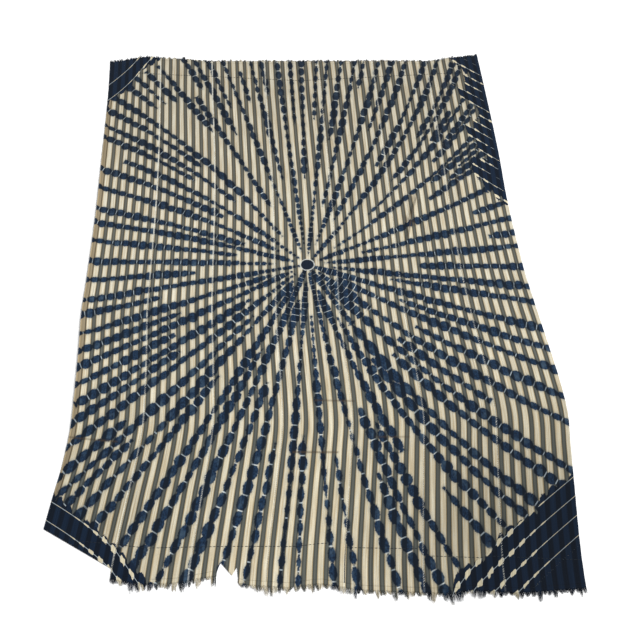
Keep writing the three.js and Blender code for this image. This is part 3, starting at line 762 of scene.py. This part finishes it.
for name, node_name, end_rows, first, last, out, short, long in FRAY:
    rng = np.random.default_rng(11 + len(name))
    tufts = round((last - first) * STRIPES * 2)
    columns = tufts * 5 + 1
    across = np.linspace(first, last, columns)
    edge = woven_end(end_rows, across)
    ragged = out * (0.8 * np.sin(across * 911) + 0.9 * np.sin(across * 2377 + 1))
    along = np.stack([edge - out * BACKING_MM * (1 - i / 4) + ragged * (i == 4) for i in range(5)])
    if out < 0:
        along = along[::-1]
    flat_y = along.ravel()
    share = np.broadcast_to(across, along.shape).ravel()
    flat_x = lie(share, flat_y)
    points = [laid(flat_x, flat_y, face) for face in (1, 0)]
    faces = sheet_faces(*along.shape, 4)
    base_mm = (share * STRIPES + STRIPE_START) * STRIPE_MM
    base_x, base_y, base_mm = [np.tile(a, 2) for a in (flat_x, flat_y, base_mm)]

    wide_mm = (last - first) * STRIPES * STRIPE_MM
    clumps = np.cumsum(rng.uniform(*CLUMP_MM, int(wide_mm / CLUMP_MM[0])))
    clumps = clumps[clumps < wide_mm]
    threads = tufts * THREADS_PER_TUFT
    seat = (np.arange(threads) + 0.5) / threads * wide_mm + rng.normal(0, 0.3, threads)
    clump = np.clip(np.searchsorted((clumps[1:] + clumps[:-1]) / 2, seat), 0, len(clumps) - 1)
    clump_long = short + (long - short) * rng.uniform(0, 1, len(clumps)) ** 1.5
    clump_draw = rng.uniform(0.1, 0.75, len(clumps))
    clump_lean = rng.normal(0, 2.0, len(clumps))
    root = np.clip(first + seat / wide_mm * (last - first), first, last)
    length = clump_long[clump] * rng.uniform(0.55, 1.1, threads)
    root_y = woven_end(end_rows, root) - out * rng.uniform(0.5, 2.5, threads)
    root_x = lie(root, root_y)
    sway = (clumps[clump] - seat) * clump_draw[clump] + clump_lean[clump] + rng.normal(0, 0.9, threads)
    curl = rng.normal(0, 0.7, threads)
    rise = np.abs(rng.normal(0, 0.8, threads))
    rings = []
    for t in np.linspace(0, 1, THREAD_RINGS):
        centre = laid(root_x, root_y, 0.5)
        centre[:, 0] += (sway * t**1.4 + curl * math.sin(3 * t)) / 1000
        centre[:, 1] += out * (length + 2) * t / 1000
        centre[:, 2] += (rise * math.sin(2.6 * t) - 0.1 * t) / 1000
        radius = THREAD_MM * (1 - 0.62 * t) / 1000
        for turn in (0.5, 2.6, 4.7):
            spot = centre.copy()
            spot[:, 0] += radius * math.cos(turn)
            spot[:, 2] = np.maximum(spot[:, 2] + radius * math.sin(turn), 0.00002)
            rings.append(spot)
    loose = np.stack(rings, 1)
    start = len(points[0]) * 2 + np.arange(threads)[:, None] * THREAD_POINTS
    for part in tube_faces(start):
        faces = faces + (part[:, ::-1] if out > 0 else part).tolist()
    points = np.concatenate(points + [loose.reshape(-1, 3)])
    run_out = np.tile(np.repeat(np.arange(THREAD_RINGS), THREAD_SIDES) * out * 2.0, threads)
    flat_x = np.concatenate([base_x, np.repeat(root_x, THREAD_POINTS)])
    flat_y = np.concatenate([base_y, np.repeat(root_y, THREAD_POINTS) + run_out])
    mm = np.concatenate([base_mm, np.repeat((root * STRIPES + STRIPE_START) * STRIPE_MM, THREAD_POINTS)])
    piece = cloth_mesh(name, points, faces, flat_x, flat_y, mm)
    piece.data.materials.append(cotton)
    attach(piece, "root")
    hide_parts(node_name)
    for strip in range(STRIPS):
        if first < (strip + 1) / STRIPS - 0.01 and last > strip / STRIPS + 0.01:
            worked_on[strip].append(piece)

# The seams. Neighbouring strips are whipped together edge to edge with pale cotton thread, one short
# slanting stitch after another, which stands a little proud of the selvedges.
SEAM_STITCH_MM = 4.5
SEAM_THREAD_MM = 0.55
FIRST_SEAM_END = -690.0

# Undyed spun cotton: dull off-white, greyed in patches, with the twist of the ply just felt in the light.
pale_thread = bpy.data.materials.new("spun_cotton_sewing_thread")
pale_thread.use_nodes = True
tree = pale_thread.node_tree
tree.nodes.clear()
place = knot(tree, "ShaderNodeTexCoord", out=3)
soil = knot(tree, "ShaderNodeTexNoise", {"Vector": place, "Scale": 60.0, "Detail": 2.0})
soil = knot(tree, R, {0: soil, 1: 0.35, 2: 0.65, 3: 0.0, 4: 1.0})
tone = knot(tree, "ShaderNodeMix", {0: soil, 6: hexed("#9a9c96"), 7: hexed("#dddbd0")}, COLOUR, 2)
ply = knot(tree, "ShaderNodeTexNoise", {"Vector": place, "Scale": 2500.0, "Detail": 1.0})
bump = knot(tree, "ShaderNodeBump", {"Strength": 0.4, "Distance": 0.0002, "Height": ply})
surface = {"Base Color": tone, "Roughness": 0.85, "Normal": bump, "Specular IOR Level": 0.25}
thread_shader = knot(tree, "ShaderNodeBsdfPrincipled", surface)
knot(tree, "ShaderNodeOutputMaterial", {"Surface": thread_shader})


def stitches(name, x0, y0, x1, y1, radius_mm, hump_mm):
    """Short stitches over the cloth's face from one point to another, three-sided and humped."""
    rings = []
    for t in np.linspace(0, 1, THREAD_RINGS):
        x, y = x0 + (x1 - x0) * t, y0 + (y1 - y0) * t
        centre = laid(x, y, 1.0)
        centre[:, 2] += (hump_mm * math.sin(math.pi * t) - 0.25) / 1000
        length = np.hypot(x1 - x0, y1 - y0)
        side_x, side_y = -(y1 - y0) / length, (x1 - x0) / length
        radius = radius_mm * (0.55 + 0.45 * math.sin(math.pi * t)) / 1000
        for turn in (math.pi / 2, math.pi * 7 / 6, math.pi * 11 / 6):
            spot = centre.copy()
            spot[:, 0] += side_x * radius * math.cos(turn)
            spot[:, 1] += side_y * radius * math.cos(turn)
            spot[:, 2] += radius * math.sin(turn)
            rings.append(spot)
    sides, caps, heels = tube_faces(np.arange(len(x0))[:, None] * THREAD_POINTS)
    faces = sides.tolist() + heels.tolist() + caps.tolist()
    mesh = bpy.data.meshes.new(name)
    mesh.from_pydata(np.stack(rings, 1).reshape(-1, 3).tolist(), [], faces)
    mesh.polygons.foreach_set("use_smooth", np.ones(len(mesh.polygons), bool))
    mesh.update()
    piece = bpy.data.objects.new(name, mesh)
    bpy.context.scene.collection.objects.link(piece)
    bpy.ops.object.select_all(action="DESELECT")
    bpy.context.view_layer.objects.active = piece
    piece.select_set(True)
    bpy.ops.object.mode_set(mode="EDIT")
    bpy.ops.mesh.select_all(action="SELECT")
    bpy.ops.mesh.normals_make_consistent(inside=False)
    bpy.ops.object.mode_set(mode="OBJECT")
    piece.select_set(False)
    return piece


starts = []
for seam in range(1, STRIPS):
    rng = np.random.default_rng(40 + seam)
    top = float(woven_end(FAR_END, seam / STRIPS)) - BACKING_MM - 3
    foot = float(woven_end(NEAR_END, seam / STRIPS)) + BACKING_MM + 4
    if seam == 1:
        foot = FIRST_SEAM_END
    if seam == OPEN_SEAM:
        foot = float(OPEN_FROM)
    y = np.arange(foot, top, SEAM_STITCH_MM)
    y = y + rng.normal(0, 0.7, y.shape)
    x = lie(seam / STRIPS, y)
    starts.append((x - rng.uniform(1.3, 2.3, y.shape), y - rng.uniform(1.0, 2.2, y.shape),
                   x + rng.uniform(1.3, 2.3, y.shape), y + rng.uniform(1.0, 2.2, y.shape)))
x0, y0, x1, y1 = [np.concatenate(parts) for parts in zip(*starts)]
seam_stitches = stitches("seam_stitches", x0, y0, x1, y1, SEAM_THREAD_MM, 0.45)
seam_stitches.data.materials.append(pale_thread)
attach(seam_stitches, "root")

# The running stitches. One indigo thread runs across the cloth inside each end to hold the weave from
# fraying further; it dips under and shows again every few threads. Places across and along the warp.
NEAR_RUNS = [
    [
        (-529, -632), (-440, -643), (-361, -654), (-270, -655), (-179, -657), (-49, -662),
        (2, -658), (32, -658),
    ],
    [(59, -668), (194, -675), (216, -675)],
    [(221, -690), (338, -698), (368, -696), (430, -701), (552, -710)],
]
FAR_RUNS = [[(-507, 704), (-8, 656), (492, 671)]]
RUN_MM = 8.5
RUN_SHOWN = 0.86
RUN_THREAD_MM = 0.95

# The same cotton dyed nearly black with indigo: a thin dark dashed line on the pale stripes.
dark_thread = bpy.data.materials.new("indigo_cotton_sewing_thread")
dark_thread.use_nodes = True
tree = dark_thread.node_tree
tree.nodes.clear()
place = knot(tree, "ShaderNodeTexCoord", out=3)
soil = knot(tree, "ShaderNodeTexNoise", {"Vector": place, "Scale": 45.0, "Detail": 2.0})
tone = knot(tree, "ShaderNodeMix", {0: soil, 6: hexed("#0b0f16"), 7: hexed("#232c37")}, COLOUR, 2)
ply = knot(tree, "ShaderNodeTexNoise", {"Vector": place, "Scale": 2500.0, "Detail": 1.0})
bump = knot(tree, "ShaderNodeBump", {"Strength": 0.4, "Distance": 0.0002, "Height": ply})
surface = {"Base Color": tone, "Roughness": 0.8, "Normal": bump, "Specular IOR Level": 0.25}
thread_shader = knot(tree, "ShaderNodeBsdfPrincipled", surface)
knot(tree, "ShaderNodeOutputMaterial", {"Surface": thread_shader})

for name, runs in (("near_running_stitch", NEAR_RUNS), ("far_running_stitch", FAR_RUNS)):
    rng = np.random.default_rng(len(name))
    ends = []
    for path in runs:
        rows = np.array(path, float)
        run = np.r_[0, np.cumsum(np.hypot(*np.diff(rows, axis=0).T))]
        start = np.arange(0, run[-1] - RUN_MM, RUN_MM)
        start = start + rng.uniform(0, 0.8, start.shape)
        stop = start + RUN_MM * rng.uniform(RUN_SHOWN - 0.1, RUN_SHOWN + 0.1, start.shape)
        ends.append([np.interp(at, run, rows[:, column]) for at in (start, stop) for column in (0, 1)])
    x0, y0, x1, y1 = [np.concatenate(parts) for parts in zip(*ends)]
    piece = stitches(name, x0, y0, x1, y1, RUN_THREAD_MM, 0.5)
    piece.data.materials.append(dark_thread)
    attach(piece, "root")

# The length of cloth each strip was cut from the loom as, worked out for each strip and not used further.
for strip, piece in enumerate(strips):
    across = np.linspace(strip / STRIPS, (strip + 1) / STRIPS, 50)
    length = float(np.mean(woven_end(FAR_END, across) - BACKING_MM - strip_near(strip, across))) / 1000

# The floor, the light and the camera: a plain pale floor, soft light from above and behind on the right,
# and a camera above the near end looking down at the cloth.
bpy.ops.mesh.primitive_plane_add(size=14.0, location=(0, 0, -0.0004))
floor = bpy.context.object
floor.name = "floor"
# Matte white, so only the soft shadow under the edges shows on it.
paper = bpy.data.materials.new("matte_white_backdrop")
paper.use_nodes = True
matte = paper.node_tree.nodes["Principled BSDF"].inputs
matte["Base Color"].default_value = hexed("#f6f6f6")
matte["Roughness"].default_value = 0.95
matte["Specular IOR Level"].default_value = 0.0
floor.data.materials.append(paper)

world = bpy.data.worlds.new("studio")
world.use_nodes = True
all_round = world.node_tree.nodes["Background"].inputs
all_round["Color"].default_value = hexed("#ffffff")
all_round["Strength"].default_value = 0.6
bpy.context.scene.world = world
lamp = bpy.data.lights.new("broad_soft_light", "SUN")
lamp.angle = math.radians(32)
lamp.energy = 3.4
soft_light = bpy.data.objects.new("broad_soft_light", lamp)
soft_light.rotation_euler = (math.radians(-9), math.radians(38), 0)
bpy.context.scene.collection.objects.link(soft_light)
bpy.context.scene.view_settings.view_transform = "Standard"

EYE = (0.001 + MIDDLE[0] / 1000, -0.7455 + MIDDLE[1] / 1000, 1.36)
LOOK_DOWN = 65.879
TURN_RIGHT = 2.07
camera_data = bpy.data.cameras.new("camera")
camera_data.lens = 33.75
camera_data.sensor_width = 36.0
camera = bpy.data.objects.new("camera", camera_data)
camera.location = EYE
camera.rotation_euler = (math.radians(90 - LOOK_DOWN), 0, math.radians(-TURN_RIGHT))
bpy.context.scene.collection.objects.link(camera)
bpy.context.scene.camera = camera
